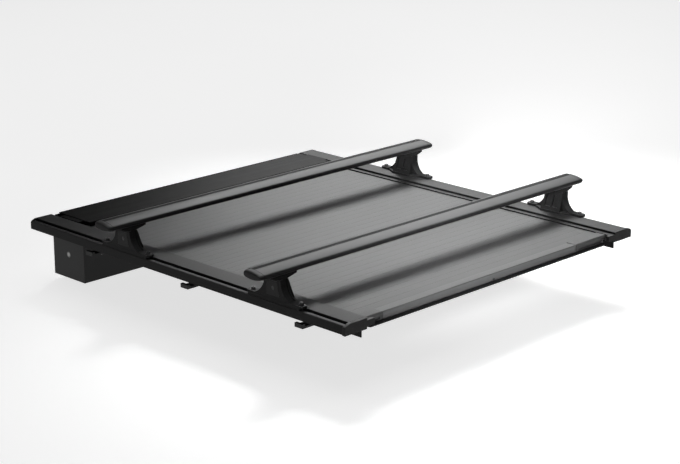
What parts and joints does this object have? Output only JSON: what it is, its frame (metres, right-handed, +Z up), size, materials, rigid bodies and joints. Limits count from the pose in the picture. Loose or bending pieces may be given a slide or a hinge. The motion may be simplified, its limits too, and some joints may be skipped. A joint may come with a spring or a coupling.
{
  "type": "truck tonneau cover",
  "caption": "Roll-up slatted truck bed cover with side rails, a front canister, a locking end rail and two wing-section crossbars on towers that slide along the rails.",
  "frame": {"origin": "centre of the rail pair on the plane of the bed caps, which is the underside of both rails", "axes": "+X to the truck's right, +Y toward the cab, +Z up"},
  "size_m": [1.766, 1.744, 0.3874],
  "materials": {
    "rail_black": "satin textured powder coat",
    "slat_black": "matte textured powder coat",
    "end_rail_black": "satin powder coat",
    "wing_black": "satin anodised black",
    "tower_black": "matte powder coat",
    "canister_black": "satin powder coat",
    "bolt_black": "satin black oxide",
    "moulded_black": "fine grain",
    "seal_black": "matte",
    "glide_nylon": "smooth",
    "zinc_steel": "zinc plated",
    "lock_steel": "satin nickel",
    "mill_aluminium": "mill finish",
    "webbing": "woven"
  },
  "bodies": {
    "frame": {"rail_right": "rail_black", "rail_left": "rail_black", "rail_caps_rear": "moulded_black", "rail_caps_front": "moulded_black", "guide_strips": "glide_nylon", "rail_wipers": "seal_black", "rail_gaskets": "seal_black", "curtain_slats": "slat_black", "slat_glides": "glide_nylon", "leader_straps": "webbing", "canister_floor": "canister_black", "canister_rear_wall": "canister_black", "canister_front_wall": "canister_black", "canister_ends": "canister_black", "canister_screws": "zinc_steel", "canister_lid": "canister_black", "entry_nose": "moulded_black", "lid_brackets": "canister_black", "lid_screws": "bolt_black", "bulkhead_seal": "seal_black", "drain_nipples": "moulded_black", "drum_bushings": "glide_nylon", "spring_shaft": "zinc_steel", "assist_spring": "zinc_steel", "clamp_brackets": "rail_black", "clamp_jaws": "rail_black", "clamp_bolts": "zinc_steel"},
    "cover": {"end_rail": "end_rail_black", "end_piece_right": "moulded_black", "end_piece_left": "moulded_black", "tailgate_seal": "seal_black"},
    "lock": {"lock_cam": "lock_steel"},
    "rod_right": {"lock_rod_right": "zinc_steel"},
    "rod_left": {"lock_rod_left": "zinc_steel"},
    "drum": {"drum_tube": "mill_aluminium", "drum_hubs": "glide_nylon"},
    "front_crossbar_assembly": {"front_crossbar": "wing_black", "front_bar_infill": "seal_black", "front_bar_caps": "moulded_black", "front_foot_bolts": "bolt_black", "front_t_nuts": "zinc_steel", "front_tower_covers": "moulded_black", "front_tower_right": "tower_black", "front_tower_left": "tower_black", "front_saddle_right": "tower_black", "front_saddle_left": "tower_black"},
    "front_lock_core_right": {"front_lock_core_right": "lock_steel"},
    "front_lock_core_left": {"front_lock_core_left": "lock_steel"},
    "rear_crossbar_assembly": {"rear_crossbar": "wing_black", "rear_bar_infill": "seal_black", "rear_bar_caps": "moulded_black", "rear_foot_bolts": "bolt_black", "rear_t_nuts": "zinc_steel", "rear_tower_covers": "moulded_black", "rear_tower_right": "tower_black", "rear_tower_left": "tower_black", "rear_saddle_right": "tower_black", "rear_saddle_left": "tower_black"},
    "rear_lock_core_right": {"rear_lock_core_right": "lock_steel"},
    "rear_lock_core_left": {"rear_lock_core_left": "lock_steel"}
  },
  "joints": [
    {"name": "cover_slide", "type": "slide", "parent": "frame", "child": "cover", "axis": [0, 1, 0], "range_m": [0, 1.44], "deforming": ["curtain_slats", "slat_glides", "leader_straps"]},
    {"name": "drum_spin", "type": "hinge", "parent": "frame", "child": "drum", "pos_m": [0, 0.749, -0.1], "axis": [-1, 0, 0], "range_deg": [0, 1470]},
    {"name": "lock_turn", "type": "hinge", "parent": "cover", "child": "lock", "pos_m": [0, -0.82, 0.007], "axis": [0, 1, 0], "range_deg": [0, 90]},
    {"name": "rod_right_slide", "type": "slide", "parent": "cover", "child": "rod_right", "axis": [1, 0, 0], "range_m": [0, 0.012]},
    {"name": "rod_left_slide", "type": "slide", "parent": "cover", "child": "rod_left", "axis": [-1, 0, 0], "range_m": [0, 0.012]},
    {"name": "front_crossbar_slide", "type": "slide", "parent": "frame", "child": "front_crossbar_assembly", "axis": [0, 1, 0], "range_m": [-0.25, 0.4]},
    {"name": "front_lock_core_right_turn", "type": "hinge", "parent": "front_crossbar_assembly", "child": "front_lock_core_right", "pos_m": [0.782, 0.288, 0.086], "axis": [1, 0, 0], "range_deg": [0, 90]},
    {"name": "front_lock_core_left_turn", "type": "hinge", "parent": "front_crossbar_assembly", "child": "front_lock_core_left", "pos_m": [-0.782, 0.288, 0.086], "axis": [-1, 0, 0], "range_deg": [0, 90]},
    {"name": "rear_crossbar_slide", "type": "slide", "parent": "frame", "child": "rear_crossbar_assembly", "axis": [0, 1, 0], "range_m": [-0.18, 0.25]},
    {"name": "rear_lock_core_right_turn", "type": "hinge", "parent": "rear_crossbar_assembly", "child": "rear_lock_core_right", "pos_m": [0.782, -0.522, 0.086], "axis": [1, 0, 0], "range_deg": [0, 90]},
    {"name": "rear_lock_core_left_turn", "type": "hinge", "parent": "rear_crossbar_assembly", "child": "rear_lock_core_left", "pos_m": [-0.782, -0.522, 0.086], "axis": [-1, 0, 0], "range_deg": [0, 90]}
  ],
  "couplings": [
    {"joint": "drum_spin", "follows": "cover_slide", "rad_per_m": 17.8},
    {"joint": "lock_turn", "follows": "rod_right_slide", "rad_per_m": 130.89},
    {"joint": "rod_left_slide", "follows": "rod_right_slide", "ratio": 1}
  ]
}
